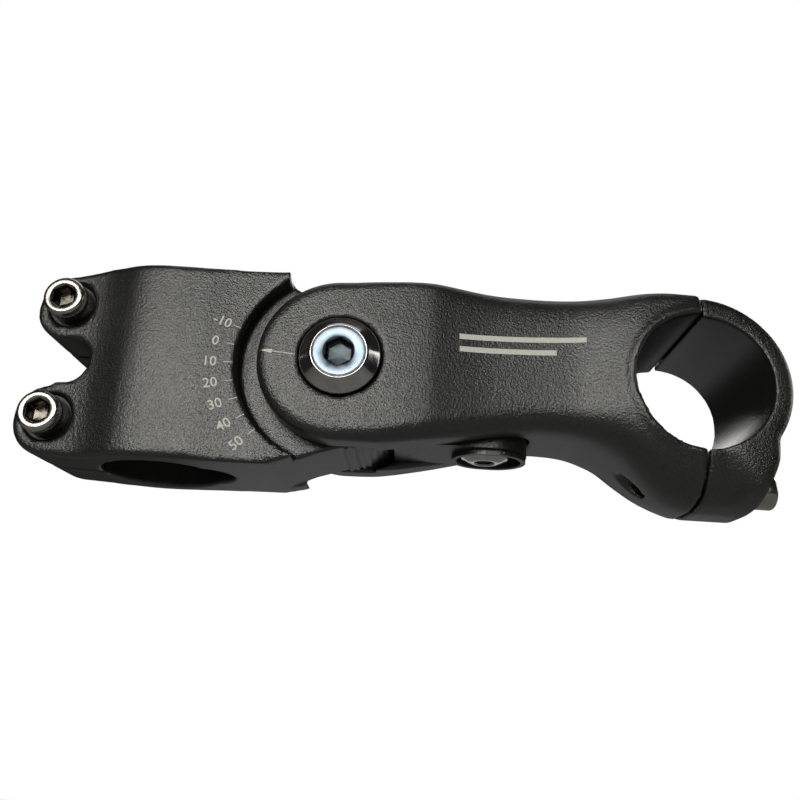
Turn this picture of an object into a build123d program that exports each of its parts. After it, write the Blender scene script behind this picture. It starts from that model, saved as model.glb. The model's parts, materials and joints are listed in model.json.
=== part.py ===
from build123d import *
import math
import os

# Angle-adjustable handlebar stem, millimetres.
# +Z runs up the steerer, +X forward to the handlebar, +Y to the rider's left.
# The origin is the centre of the steerer bore.

# Steerer clamp
STEERER_DIAMETER = 28.6
CLAMP_HEIGHT = 48.0
CLAMP_WALL = 4.7
SLIT_WIDTH = 2.0
BORE_RELIEF = 3.2
BORE_RELIEF_SHARE = 0.6
CLAMP_FRONT = 30.0
CLAMP_TOE = 4.0
TOE_SLOPE_START = 28.0
TOE_SLOPE = 0.26
BULGE_REAR_SHARE = 0.35
BULGE_FRONT_SHARE = 0.9
BULGE_FRONT_NARROWING = 0.9
CLAMP_FRONT_NARROWING = 0.4

# Ears and pinch bolts
EAR_X = 23.8
EAR_STAGGER = 0.4
EAR_Z = 14.3
EAR_RADIUS = 8.5
EAR_DROP = 0.6
EAR_HALF_WIDTH = 14.5
EAR_REAR_NARROWING = 0.8
EAR_NECK_WIDENING = 0.9
NOTCH_HALF_HEIGHT = 5.6
NOTCH_WALL = 2.2
PINCH_SHANK_RADIUS = 3.0
PINCH_HEAD_RADIUS = 4.9
PINCH_HEAD_HEIGHT = 6.0
PINCH_HEX = 5.0
PINCH_WASHER_RADIUS = 5.5
PINCH_WASHER_THICKNESS = 0.8
COUNTERBORE_DEPTH = 1.8
PINCH_END_GAP = 2.0

# Pivot joint
PIVOT_X = 43.5
PIVOT_Z = 1.2
TONGUE_HALF_WIDTH = 12.0
TONGUE_HIP_X = 9.0
TONGUE_HIP_Z = 18.9
TONGUE_ROOT_LENGTH = 12.0
TONGUE_BROW_RISE = 2.5
TONGUE_CHIN_X = 5.0
TONGUE_CHIN_DROP = 0.6
TOOTH_TIP_RADIUS = 20.5
TOOTH_HEIGHT = 0.9
TOOTH_PITCH = 5.0
TOOTH_RISE_END = 0.3
TOOTH_CREST_END = 0.5
TOOTH_FALL_END = 0.8
TOOTH_FIRST = -85.0
TOOTH_LAST = 50.0
RECESS_RADIUS = 24.7
SIDE_WASHER_THICKNESS = 0.5
SIDE_WASHER_RADIUS = 14.0
BUSH_WALL = 1.5
PIVOT_SHANK_RADIUS = 4.0
PIVOT_HEAD_RADIUS = 6.0
PIVOT_HEAD_HEIGHT = 4.6
PIVOT_HEX = 6.0
PIVOT_THREAD_DEPTH = 1.2
PIVOT_END_GAP = 1.5
CONE_BASE_RADIUS = 9.4
CONE_HEIGHT = 2.8
CONE_SEAT = 2.6
CONE_LIP = 0.5
NUT_LENGTH = 8.0
NUT_END_GAP = 0.3

# Extension arm
ARM_LENGTH = 84.2
ARM_DROOP = 1.1
ARM_NOSE_RADIUS = 19.6
ARM_HALF_WIDTH = 20.9
ARM_NARROWING = ((0.3, 1.6), (0.56, 4.3), (0.8, 1.2))
ARM_TOP_STATIONS = ((0.26, 21.2), (0.43, 21.2), (0.61, 21.1), (0.72, 21.5), (0.85, 22.3))
ARM_END_TOP = 22.0
ARM_END_SLOPE = -0.1
ARM_UNDER_STATIONS = (
    (0.12, 19.3), (0.25, 17.5), (0.44, 14.6), (0.6, 13.0), (0.725, 14.7),
    (0.785, 17.2), (0.83, 20.8), (0.885, 24.6))

# Handlebar clamp
BAR_DIAMETER = 31.8
BAR_RING_WALL = 5.7
RING_SHIFT = 0.8
RING_FLAT = 0.3
SEAM_GAP = 0.6
FACEPLATE_HALF_WIDTH = 18.6
JAW_DROP = 21.4
JAW_WALL = 4.9
JAW_SHOULDER = 20.5
CAP_SHANK_RADIUS = 2.5
CAP_HEAD_RADIUS = 4.2
CAP_HEAD_HEIGHT = 5.0
CAP_HEX = 4.0
CAP_BOLT_LENGTH = 25.0
CAP_EAR_THICKNESS = 15.5
CAP_EAR_CORNER = 2.0
CAP_BROW = ((20.3, -4.0), (16.2, -18.0), (15.5, -22.0))
CAP_WASHER_RADIUS = 4.6
CAP_WASHER_THICKNESS = 0.8
HOOK_DEPTH = 1.6
HOOK_HEIGHT = 1.4
HOOK_ROOT = 0.5
HOOK_LENGTH_SHARE = 0.8

# Lock wedge and its bolt, in the arm's underside
LOCK_X = 35.7
WEDGE_BOTTOM = 15.9
WEDGE_HALF_WIDTH = 9.3
WEDGE_TOP_ANGLE = -12.0
WEDGE_CREST_LENGTH = 1.6
WEDGE_RIM_MARGIN = 1.0
WEDGE_RIM_ANGLE = -40.0
WEDGE_RIM_INNER_SHARE = 0.4
WEDGE_RIM_TOP_SHARE = 0.85
WEDGE_TOOTH_STOP = 3.0
WEDGE_SLOPE = 0.75
WEDGE_TRAVEL = 1.2
POCKET_LIFT = 1.0
POCKET_OPENING = 4.0
POCKET_TRAVEL_SHARE = 1.1
FLANGE_THICKNESS = 5.3
LOCK_SHANK_RADIUS = 3.0
LOCK_HEAD_RADIUS = 6.0
LOCK_HEAD_HEIGHT = 3.3
LOCK_HEX = 4.0
LOCK_WASHER_RADIUS = 6.4
LOCK_WASHER_THICKNESS = 0.8
LOCK_BOSS_WALL = 1.2
LOCK_BOSS_HEIGHT = 1.3
LOCK_HEAD_SINK = 0.4
LOCK_BOLT_REACH = 22.0
LOCK_END_GAP = 4.0
LOCK_DOME = 1.6

# Bolts in general
SOCKET_DEPTH_SHARE = 0.6
BOLT_EDGE = 0.5
FLAT_HEAD_EDGE = 0.3

# Clearances
THREAD_CLEARANCE = 0.05
RUNNING_CLEARANCE = 0.05
HOLE_CLEARANCE = 0.3
SIDE_CLEARANCE = 0.1
LOOSE_CLEARANCE = 0.5
TOOTH_CLEARANCE = 0.15
OVERCUT = 1.0

# Worked out from the sizes above
STEERER_RADIUS = STEERER_DIAMETER / 2
BAR_RADIUS = BAR_DIAMETER / 2
RING_RADIUS = BAR_RADIUS + BAR_RING_WALL
CLAMP_TOP = CLAMP_HEIGHT / 2
BULGE_HALF_WIDTH = STEERER_RADIUS + CLAMP_WALL
CHEEK_INNER = TONGUE_HALF_WIDTH + SIDE_WASHER_THICKNESS + 2 * SIDE_CLEARANCE
TOOTH_ROOT_RADIUS = TOOTH_TIP_RADIUS - TOOTH_HEIGHT
FORK_RADIUS = TOOTH_TIP_RADIUS + LOOSE_CLEARANCE
JAW_BOTTOM = JAW_DROP + CAP_SHANK_RADIUS + JAW_WALL
SLIDE_ANGLE = math.degrees(math.atan(WEDGE_SLOPE))
WIDE = 60.0


def side_solid(face, half_width):
    """Extrudes an outline drawn in the XZ plane to both sides of it."""
    return extrude(Plane.XZ * face, amount=half_width, both=True)


def rod(radius, start, end):
    """A cylinder along Y between two Y values, centred on the local origin."""
    return Pos(0, (start + end) / 2, 0) * Rot(90, 0, 0) * Cylinder(radius, abs(end - start))


def hex_socket(hex_size, head_height):
    """What is cut from a bolt's head, from z = 0 upwards, for the hexagon key."""
    hexagon = RegularPolygon(hex_size / 2, 6, major_radius=False)
    return extrude(hexagon, head_height * SOCKET_DEPTH_SHARE)


def socket_bolt(shank, length, head, head_height, hex_size, edge=BOLT_EDGE):
    """A socket head bolt along +Z, with the underside of its head at z = 0."""
    body = Pos(0, 0, length / 2) * Cylinder(shank, length)
    body = chamfer(body.edges().sort_by(Axis.Z)[-1:], edge)
    cap = Pos(0, 0, -head_height / 2) * Cylinder(head, head_height)
    cap = fillet(cap.edges().sort_by(Axis.Z)[:1], edge)
    recess = hex_socket(hex_size, head_height)
    return body + cap - Pos(0, 0, -head_height) * recess


def washer(outer, inner, thickness):
    """A flat washer that lies on z = 0 and rises along +Z."""
    return Pos(0, 0, thickness / 2) * (Cylinder(outer, thickness) - Cylinder(inner, thickness))


def tooth_ring(tip, root, first, last):
    """A face bounded by teeth about the origin between two angles, as a fan from the centre."""
    points = [(0.0, 0.0)]
    tooth = ((0.0, root), (TOOTH_RISE_END, tip), (TOOTH_CREST_END, tip), (TOOTH_FALL_END, root))
    count = round((last - first) / TOOTH_PITCH)
    for index in range(count):
        start = first + index * TOOTH_PITCH
        for share, radius in tooth:
            angle = math.radians(start + share * TOOTH_PITCH)
            points.append((radius * math.cos(angle), radius * math.sin(angle)))
    return make_face(Polyline(*points, close=True))


def at_pivot(shape):
    """Moves a shape from the arm's own frame to the object's frame."""
    return Pos(PIVOT_X, 0, PIVOT_Z) * Rot(0, ARM_DROOP, 0) * shape


def ear_x(side):
    """X of an ear's bolt: the upper ear stands a little further forward than the lower one."""
    return -EAR_X + side * EAR_STAGGER


def ear(side):
    """Side view of one ear and of the neck that joins it to the clamp."""
    centre_z = side * EAR_Z - EAR_DROP
    neck_points = [
        (-STEERER_RADIUS, side * CLAMP_TOP),
        (ear_x(side), centre_z + side * EAR_RADIUS),
        (ear_x(side), 0),
        (-STEERER_RADIUS, 0),
    ]
    return Pos(ear_x(side), centre_z) * Circle(EAR_RADIUS) + make_face(Polyline(*neck_points, close=True))


def clamp_outline():
    """Side view of the clamp: ears at the rear, flat top and bottom, a sloping toe in front."""
    block_length = CLAMP_FRONT + STEERER_RADIUS
    block = Pos(CLAMP_FRONT - block_length / 2, 0) * Rectangle(block_length, CLAMP_HEIGHT)
    toe = Pos(CLAMP_FRONT + CLAMP_TOE / 2, -CLAMP_HEIGHT / 3) * Rectangle(CLAMP_TOE, CLAMP_HEIGHT / 3)
    notch_end = -STEERER_RADIUS - NOTCH_WALL - NOTCH_HALF_HEIGHT
    notch = Pos(notch_end, 0) * Circle(NOTCH_HALF_HEIGHT)
    notch += Pos(notch_end - WIDE / 2, 0) * Rectangle(WIDE, 2 * NOTCH_HALF_HEIGHT)
    return block + toe + ear(1) + ear(-1) - notch - toe_slope()


def toe_slope():
    """What is cut from the side view so that the underside rises towards the tongue."""
    rise = TOE_SLOPE * (CLAMP_FRONT + CLAMP_TOE - TOE_SLOPE_START)
    return make_face(Polyline(
        (TOE_SLOPE_START, -CLAMP_TOP),
        (CLAMP_FRONT + CLAMP_TOE, rise - CLAMP_TOP),
        (CLAMP_FRONT + CLAMP_TOE, -CLAMP_HEIGHT),
        (TOE_SLOPE_START, -CLAMP_HEIGHT),
        close=True))


def clamp_plan():
    """Top view of the clamp: narrow ears, a bulge round the steerer and flat sides in front."""
    right = Spline(
        (-EAR_X - EAR_RADIUS - OVERCUT, EAR_HALF_WIDTH - EAR_REAR_NARROWING),
        (-EAR_X, EAR_HALF_WIDTH),
        (-EAR_X + EAR_RADIUS, EAR_HALF_WIDTH + EAR_NECK_WIDENING),
        (-STEERER_RADIUS * BULGE_REAR_SHARE, BULGE_HALF_WIDTH),
        (STEERER_RADIUS * BULGE_FRONT_SHARE, BULGE_HALF_WIDTH - BULGE_FRONT_NARROWING),
        (CLAMP_FRONT + CLAMP_TOE, BULGE_HALF_WIDTH - CLAMP_FRONT_NARROWING),
    )
    left = mirror(right, about=Plane.XZ)
    rear = Line(right @ 0, left @ 0)
    front = Line(right @ 1, left @ 1)
    return make_face(Wire([*right.edges(), *front.edges(), *left.edges(), *rear.edges()]))


def steerer_clamp():
    """The clamp body, split at the rear, with a toothed tongue that the arm turns on."""
    blank = side_solid(clamp_outline(), WIDE / 2) & extrude(clamp_plan(), CLAMP_TOP, both=True)
    recess = Pos(PIVOT_X, 0, PIVOT_Z) * rod(RECESS_RADIUS, TONGUE_HALF_WIDTH, WIDE)
    blank -= recess
    blank -= mirror(recess, about=Plane.XZ)
    blank -= Pos(CLAMP_FRONT + WIDE / 2, 0, 0) * Box(WIDE, 2 * TONGUE_HALF_WIDTH, WIDE)
    drop = PIVOT_Z + CLAMP_TOP
    root_points = [
        (TOE_SLOPE_START - PIVOT_X - TONGUE_ROOT_LENGTH, -drop),
        (TOE_SLOPE_START - PIVOT_X, -drop),
        (-TONGUE_CHIN_X, -TOOTH_TIP_RADIUS - TONGUE_CHIN_DROP),
        (0, -TOOTH_ROOT_RADIUS),
        (0, TOOTH_ROOT_RADIUS),
        (-TONGUE_HIP_X, TONGUE_HIP_Z),
        (CLAMP_FRONT - PIVOT_X, TONGUE_HIP_Z + TONGUE_BROW_RISE),
        (CLAMP_FRONT - PIVOT_X - TONGUE_ROOT_LENGTH, CLAMP_TOP - PIVOT_Z),
    ]
    tongue = make_face(Polyline(*root_points, close=True)) + Circle(TOOTH_ROOT_RADIUS)
    tongue += Rot(0, 0, -ARM_DROOP) * tooth_ring(
        TOOTH_TIP_RADIUS, TOOTH_ROOT_RADIUS, TOOTH_FIRST, TOOTH_LAST)
    body = blank + Pos(PIVOT_X, 0, PIVOT_Z) * side_solid(tongue, TONGUE_HALF_WIDTH)
    cut_height = CLAMP_HEIGHT + 2 * OVERCUT
    bore = Cylinder(STEERER_RADIUS, cut_height)
    relief_radius = STEERER_RADIUS * BORE_RELIEF_SHARE
    relief = Pos(STEERER_RADIUS + BORE_RELIEF - relief_radius, 0, 0) * Cylinder(relief_radius, cut_height)
    slit = Pos(OVERCUT - STEERER_RADIUS - WIDE / 2, 0, 0) * Box(WIDE, SLIT_WIDTH, cut_height)
    body -= bore
    body -= relief
    body -= slit
    for side in (1, -1):
        hole = rod(PINCH_SHANK_RADIUS + HOLE_CLEARANCE, -WIDE, 0)
        hole += rod(PINCH_SHANK_RADIUS + THREAD_CLEARANCE, 0, WIDE)
        hole += rod(PINCH_WASHER_RADIUS + HOLE_CLEARANCE, -WIDE, COUNTERBORE_DEPTH - EAR_HALF_WIDTH)
        body -= Pos(ear_x(side), 0, side * EAR_Z) * hole
    bush_seat = rod(PIVOT_SHANK_RADIUS + RUNNING_CLEARANCE + BUSH_WALL, -WIDE, WIDE)
    body -= Pos(PIVOT_X, 0, PIVOT_Z) * bush_seat
    return body


def pivot_bush():
    """Bronze sleeve, flush with the tongue's sides, that the pivot bolt runs in."""
    inner = PIVOT_SHANK_RADIUS + RUNNING_CLEARANCE
    sleeve = rod(inner + BUSH_WALL, -TONGUE_HALF_WIDTH, TONGUE_HALF_WIDTH)
    sleeve -= rod(inner, -TONGUE_HALF_WIDTH, TONGUE_HALF_WIDTH)
    return Pos(PIVOT_X, 0, PIVOT_Z) * sleeve


def side_washer(side):
    """Thin bearing washer between the tongue and one cheek of the arm."""
    start = side * (TONGUE_HALF_WIDTH + SIDE_CLEARANCE)
    end = start + side * SIDE_WASHER_THICKNESS
    ring = rod(SIDE_WASHER_RADIUS, start, end)
    ring -= rod(PIVOT_SHANK_RADIUS + RUNNING_CLEARANCE, start, end)
    return at_pivot(ring)


def pinch_bolt(side):
    """One of the two bolts that close the ears on the steerer."""
    length = EAR_HALF_WIDTH * 2 - COUNTERBORE_DEPTH - PINCH_END_GAP
    bolt = socket_bolt(PINCH_SHANK_RADIUS, length, PINCH_HEAD_RADIUS, PINCH_HEAD_HEIGHT, PINCH_HEX)
    seat = COUNTERBORE_DEPTH - EAR_HALF_WIDTH - PINCH_WASHER_THICKNESS
    return Pos(ear_x(side), seat, side * EAR_Z) * Rot(-90, 0, 0) * bolt


def pinch_washer(side):
    """Washer in the counterbore under a pinch bolt's head."""
    ring = washer(PINCH_WASHER_RADIUS, PINCH_SHANK_RADIUS + RUNNING_CLEARANCE, PINCH_WASHER_THICKNESS)
    seat = COUNTERBORE_DEPTH - EAR_HALF_WIDTH - PINCH_WASHER_THICKNESS
    return Pos(ear_x(side), seat, side * EAR_Z) * Rot(-90, 0, 0) * ring


def arm_outline():
    """Side view of the arm in its own frame: nose at the pivot, waist, ring round the bar."""
    under = Spline(
        (0, -ARM_NOSE_RADIUS),
        *[(ARM_LENGTH * share, -depth) for share, depth in ARM_UNDER_STATIONS],
        (ARM_LENGTH, -JAW_BOTTOM),
        tangents=((1, 0), (1, ARM_END_SLOPE)),
    )
    top = Spline(
        (0, ARM_NOSE_RADIUS),
        *[(ARM_LENGTH * share, height) for share, height in ARM_TOP_STATIONS],
        (ARM_LENGTH, ARM_END_TOP),
        tangents=((1, 0), (1, ARM_END_SLOPE)),
    )
    nose = ThreePointArc((0, ARM_NOSE_RADIUS), (-ARM_NOSE_RADIUS, 0), (0, -ARM_NOSE_RADIUS))
    front = Line(under @ 1, top @ 1)
    return make_face(Wire([*nose.edges(), *under.edges(), *front.edges(), *top.edges()]))


def arm_plan():
    """Top view of the arm: wide at the pivot and at the bar, with a waist between them."""
    right = Spline(
        (-ARM_NOSE_RADIUS - OVERCUT, ARM_HALF_WIDTH),
        (0, ARM_HALF_WIDTH),
        *[(ARM_LENGTH * share, ARM_HALF_WIDTH - narrowing) for share, narrowing in ARM_NARROWING],
        (ARM_LENGTH, ARM_HALF_WIDTH),
        tangents=((1, 0), (1, 0)),
    )
    left = mirror(right, about=Plane.XZ)
    rear = Line(right @ 0, left @ 0)
    front = Line(right @ 1, left @ 1)
    return make_face(Wire([*right.edges(), *front.edges(), *left.edges(), *rear.edges()]))


def jaw_trim():
    """What is cut from both clamp halves so that the lower jaw's underside is an arc across.

    The arc is JAW_BOTTOM deep in the middle and JAW_SHOULDER deep at the arm's full width.
    """
    rise = JAW_BOTTOM - JAW_SHOULDER
    radius = (ARM_HALF_WIDTH ** 2 + rise ** 2) / (2 * rise)
    centre = radius - JAW_BOTTOM
    below = Pos(0, centre - WIDE / 2) * Rectangle(WIDE, WIDE) - Pos(0, centre) * Circle(radius)
    return Pos(ARM_LENGTH, 0, 0) * extrude(Plane.YZ * below, WIDE / 2, both=True)


def wedge_profile(grow, lift, opening):
    """Side view of the wedge without its teeth.

    grow widens it, lift raises its flange and opening carries it on below the underside.
    """
    top_angle = math.radians(WEDGE_TOP_ANGLE)
    radius = TOOTH_TIP_RADIUS - grow
    start = (radius * math.cos(top_angle), radius * math.sin(top_angle))
    crest = (start[0] + WEDGE_CREST_LENGTH, start[1] + grow)
    flange_top = -WEDGE_BOTTOM + FLANGE_THICKNESS + lift
    slope_end = crest[0] + (crest[1] - flange_top) / WEDGE_SLOPE
    end = LOCK_X + WEDGE_HALF_WIDTH + grow
    points = [
        (0, 0),
        start,
        crest,
        (slope_end, flange_top),
        (end, flange_top),
        (end, -WEDGE_BOTTOM - opening),
        (0, -WEDGE_BOTTOM - opening),
    ]
    return make_face(Polyline(*points, close=True)) - Circle(radius)


def wedge_plan(grow):
    """Top view of the wedge: straight sides and a round end about the lock bolt."""
    half = WEDGE_HALF_WIDTH + grow
    plan = Pos(LOCK_X, 0) * Circle(half)
    plan += Pos(LOCK_X / 2, 0) * Rectangle(LOCK_X, 2 * half)
    return extrude(plan, WIDE / 2, both=True)


def engage(shape, share):
    """Slides a shape up the wedge's slope, towards the tongue, by a share of the travel."""
    angle = math.radians(SLIDE_ANGLE)
    step = share * WEDGE_TRAVEL
    return Pos(-step * math.cos(angle), 0, step * math.sin(angle)) * shape


def long_hole(radius, stretch, low, high):
    """An upright hole at the lock bolt, stretched along X for the wedge's slide."""
    hole = Pos(LOCK_X - stretch / 2, 0) * Circle(radius)
    hole += Pos(LOCK_X + stretch / 2, 0) * Circle(radius)
    hole += Pos(LOCK_X, 0) * Rectangle(stretch, 2 * radius)
    return Pos(0, 0, low) * extrude(hole, high - low)


def lock_wedge():
    """Toothed block that the lock bolt draws up a slope into the tongue's teeth."""
    profile = wedge_profile(0, 0, 0)
    tip = TOOTH_TIP_RADIUS + TOOTH_CLEARANCE
    root = TOOTH_ROOT_RADIUS + TOOTH_CLEARANCE
    space = tooth_ring(tip, root, TOOTH_FIRST, WEDGE_TOP_ANGLE - WEDGE_TOOTH_STOP)
    rim = make_face(Polyline(*wedge_rim(), close=True))
    toothed = profile + (rim - space - Circle(root))
    block = side_solid(toothed, WIDE / 2) & wedge_plan(0)
    stretch = 2 * WEDGE_TRAVEL
    boss_radius = LOCK_WASHER_RADIUS + LOCK_BOSS_WALL + HOLE_CLEARANCE
    boss_low = -WEDGE_BOTTOM - LOCK_BOSS_HEIGHT
    block += long_hole(boss_radius, stretch, boss_low, -WEDGE_BOTTOM)
    seat = lock_seat() + LOCK_WASHER_THICKNESS
    block -= long_hole(LOCK_WASHER_RADIUS + HOLE_CLEARANCE, stretch, boss_low - OVERCUT, seat)
    block -= long_hole(LOCK_SHANK_RADIUS + HOLE_CLEARANCE, stretch, boss_low, 0)
    return at_pivot(engage(block, -1))


def wedge_rim():
    """Corner points of the sector that carries the wedge's teeth."""
    top_angle = math.radians(WEDGE_TOP_ANGLE - WEDGE_TOOTH_STOP)
    middle_angle = math.radians(WEDGE_RIM_ANGLE)
    radius = TOOTH_TIP_RADIUS + WEDGE_RIM_MARGIN
    low_x = math.sqrt(radius ** 2 - WEDGE_BOTTOM ** 2)
    high = (radius * math.cos(top_angle), radius * math.sin(top_angle))
    return [
        (TOOTH_ROOT_RADIUS * WEDGE_RIM_INNER_SHARE, -WEDGE_BOTTOM),
        (low_x, -WEDGE_BOTTOM),
        (radius * math.cos(middle_angle), radius * math.sin(middle_angle)),
        high,
        (high[0] * WEDGE_RIM_TOP_SHARE, high[1] * WEDGE_RIM_TOP_SHARE),
    ]


def extension_arm():
    """The forked arm with the rear half of the bar clamp."""
    blank = side_solid(arm_outline(), WIDE / 2) & extrude(arm_plan(), WIDE, both=True)
    pocket = side_solid(wedge_profile(HOLE_CLEARANCE, POCKET_LIFT, POCKET_OPENING), WIDE / 2)
    pocket &= wedge_plan(HOLE_CLEARANCE)
    pocket += engage(pocket, -POCKET_TRAVEL_SHARE)
    blank -= side_solid(Circle(FORK_RADIUS) + fork_mouth(), CHEEK_INNER)
    blank -= pocket
    blank -= jaw_trim()
    blank -= Pos(ARM_LENGTH, 0, 0) * rod(BAR_RADIUS, -WIDE, WIDE)
    blank -= Pos(ARM_LENGTH - SEAM_GAP / 2 + WIDE / 2, 0, 0) * Box(WIDE, WIDE, 2 * WIDE)
    seat = ARM_HALF_WIDTH - CONE_SEAT
    blank -= rod(PIVOT_SHANK_RADIUS + RUNNING_CLEARANCE, -WIDE, WIDE)
    blank -= rod(CONE_BASE_RADIUS + HOLE_CLEARANCE, -WIDE, -seat)
    blank -= rod(CONE_BASE_RADIUS + HOLE_CLEARANCE, seat, WIDE)
    thread_top = -WEDGE_BOTTOM + LOCK_BOLT_REACH
    thread = Cylinder(LOCK_SHANK_RADIUS + THREAD_CLEARANCE, thread_top + WEDGE_BOTTOM)
    blank -= Pos(LOCK_X, 0, (thread_top - WEDGE_BOTTOM) / 2) * thread
    hole = Rot(0, 90, 0) * Cylinder(CAP_SHANK_RADIUS + THREAD_CLEARANCE, WIDE / 2)
    blank -= Pos(ARM_LENGTH - WIDE / 4, 0, -JAW_DROP) * hole
    blank -= Pos(ARM_LENGTH, 0, 0) * hook_bar(HOLE_CLEARANCE)
    return at_pivot(blank)


def fork_mouth():
    """Side view of the space behind the fork, where the tongue's root comes in."""
    return Pos(-WIDE / 2, 0) * Rectangle(WIDE, 2 * WIDE)


def hook_bar(clearance):
    """Ridge along the top seam that keys the faceplate into the arm."""
    height = HOOK_HEIGHT + 2 * clearance
    reach = HOOK_ROOT + HOOK_DEPTH + clearance + SEAM_GAP
    length = 2 * FACEPLATE_HALF_WIDTH * HOOK_LENGTH_SHARE + 2 * clearance
    front = SEAM_GAP / 2 + HOOK_ROOT
    return Pos(front - reach / 2, 0, BAR_RADIUS + BAR_RING_WALL / 2) * Box(reach, length, height)


def faceplate():
    """Front half of the bar clamp, keyed at the top and bolted at the bottom."""
    ear = Pos(CAP_EAR_THICKNESS / 2, -JAW_BOTTOM / 2) * Rectangle(CAP_EAR_THICKNESS, JAW_BOTTOM)
    ear = fillet(ear.vertices().group_by(Axis.Y)[0].sort_by(Axis.X)[-1:], CAP_EAR_CORNER)
    brow = make_face(Polyline((0, 0), *CAP_BROW, (0, -JAW_DROP), close=True))
    ring = Pos(-RING_SHIFT, 0) * Circle(RING_RADIUS) + ear + brow
    flat = Pos(0, RING_RADIUS - RING_FLAT + WIDE / 2) * Rectangle(WIDE, WIDE)
    front = Pos(SEAM_GAP / 2 + WIDE / 2, 0) * Rectangle(WIDE, 2 * WIDE)
    profile = (ring - flat) & front
    plate = side_solid(profile, FACEPLATE_HALF_WIDTH)
    plate -= rod(BAR_RADIUS, -WIDE, WIDE)
    plate += hook_bar(0)
    seat_radius = CAP_WASHER_RADIUS + HOLE_CLEARANCE
    plate -= Pos(0, 0, -JAW_DROP) * Rot(0, 90, 0) * Cylinder(CAP_SHANK_RADIUS + HOLE_CLEARANCE, WIDE)
    plate -= Pos(CAP_EAR_THICKNESS + WIDE / 2, 0, -JAW_DROP) * Rot(0, 90, 0) * Cylinder(seat_radius, WIDE)
    plate = Pos(ARM_LENGTH, 0, 0) * plate
    return at_pivot(plate - jaw_trim())


def cap_bolt():
    """The bolt that draws the faceplate on to the bar."""
    bolt = socket_bolt(CAP_SHANK_RADIUS, CAP_BOLT_LENGTH, CAP_HEAD_RADIUS, CAP_HEAD_HEIGHT, CAP_HEX)
    seat = ARM_LENGTH + CAP_EAR_THICKNESS + CAP_WASHER_THICKNESS
    return at_pivot(Pos(seat, 0, -JAW_DROP) * Rot(0, -90, 0) * bolt)


def cap_washer():
    """Washer under the faceplate bolt's head."""
    ring = washer(CAP_WASHER_RADIUS, CAP_SHANK_RADIUS + RUNNING_CLEARANCE, CAP_WASHER_THICKNESS)
    seat = ARM_LENGTH + CAP_EAR_THICKNESS + CAP_WASHER_THICKNESS
    return at_pivot(Pos(seat, 0, -JAW_DROP) * Rot(0, -90, 0) * ring)


def cone_washer(side):
    """Polished conical washer that stands out of the arm's side round the pivot."""
    low = ARM_HALF_WIDTH - CONE_SEAT
    rim = ARM_HALF_WIDTH
    top = ARM_HALF_WIDTH + CONE_HEIGHT
    profile = Polyline(
        (PIVOT_HEAD_RADIUS + RUNNING_CLEARANCE, top),
        (PIVOT_HEAD_RADIUS + CONE_LIP, top),
        (CONE_BASE_RADIUS, rim),
        (CONE_BASE_RADIUS, low),
        (PIVOT_SHANK_RADIUS + HOLE_CLEARANCE, low),
        (PIVOT_SHANK_RADIUS + HOLE_CLEARANCE, top - PIVOT_HEAD_HEIGHT),
        (PIVOT_HEAD_RADIUS + RUNNING_CLEARANCE, top - PIVOT_HEAD_HEIGHT),
        close=True,
    )
    ring = revolve(make_face(profile), Axis.Y)
    return at_pivot(ring if side > 0 else mirror(ring, about=Plane.XZ))


def pivot_bolt():
    """The bolt that the arm turns on, with a flat head flush with its conical washer."""
    top = ARM_HALF_WIDTH + CONE_HEIGHT
    seat = top - PIVOT_HEAD_HEIGHT
    length = 2 * seat - PIVOT_END_GAP
    bolt = socket_bolt(
        PIVOT_SHANK_RADIUS, length, PIVOT_HEAD_RADIUS, PIVOT_HEAD_HEIGHT, PIVOT_HEX, FLAT_HEAD_EDGE)
    turned_down = washer(WIDE, PIVOT_SHANK_RADIUS - PIVOT_THREAD_DEPTH, NUT_LENGTH)
    bolt -= Pos(0, 0, length - NUT_LENGTH / 2) * turned_down
    return at_pivot(Pos(0, -seat, 0) * Rot(-90, 0, 0) * bolt)


def pivot_nut():
    """Sleeve nut on the far side, with the same flat head as the bolt."""
    top = ARM_HALF_WIDTH + CONE_HEIGHT
    seat = top - PIVOT_HEAD_HEIGHT
    head = rod(PIVOT_HEAD_RADIUS, seat, top)
    head = fillet(head.edges().sort_by(Axis.Y)[-1:], FLAT_HEAD_EDGE)
    nut = head + rod(PIVOT_SHANK_RADIUS, seat - NUT_LENGTH / 2 + NUT_END_GAP, seat)
    nut -= rod(PIVOT_SHANK_RADIUS - PIVOT_THREAD_DEPTH + THREAD_CLEARANCE, 0, seat + OVERCUT)
    nut -= Pos(0, top, 0) * Rot(90, 0, 0) * hex_socket(PIVOT_HEX, PIVOT_HEAD_HEIGHT)
    return at_pivot(nut)


def lock_seat():
    """Height of the underside of the lock bolt's head when the wedge is engaged."""
    return LOCK_HEAD_HEIGHT - WEDGE_BOTTOM - LOCK_BOSS_HEIGHT - LOCK_HEAD_SINK


def lock_drop():
    """How far the backed-off wedge, and the lock bolt with it, hangs below the engaged one."""
    return WEDGE_TRAVEL * math.sin(math.radians(SLIDE_ANGLE))


def lock_bolt():
    """Domed bolt that draws the wedge up into the arm."""
    length = LOCK_BOLT_REACH - LOCK_END_GAP
    bolt = socket_bolt(LOCK_SHANK_RADIUS, length, LOCK_HEAD_RADIUS, LOCK_HEAD_HEIGHT, LOCK_HEX, LOCK_DOME)
    return at_pivot(Pos(LOCK_X, 0, lock_seat() - lock_drop()) * bolt)


def lock_washer():
    """Washer between the lock bolt's head and the wedge."""
    ring = washer(LOCK_WASHER_RADIUS, LOCK_SHANK_RADIUS + RUNNING_CLEARANCE, LOCK_WASHER_THICKNESS)
    return at_pivot(Pos(LOCK_X, 0, lock_seat() - lock_drop()) * ring)


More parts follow.
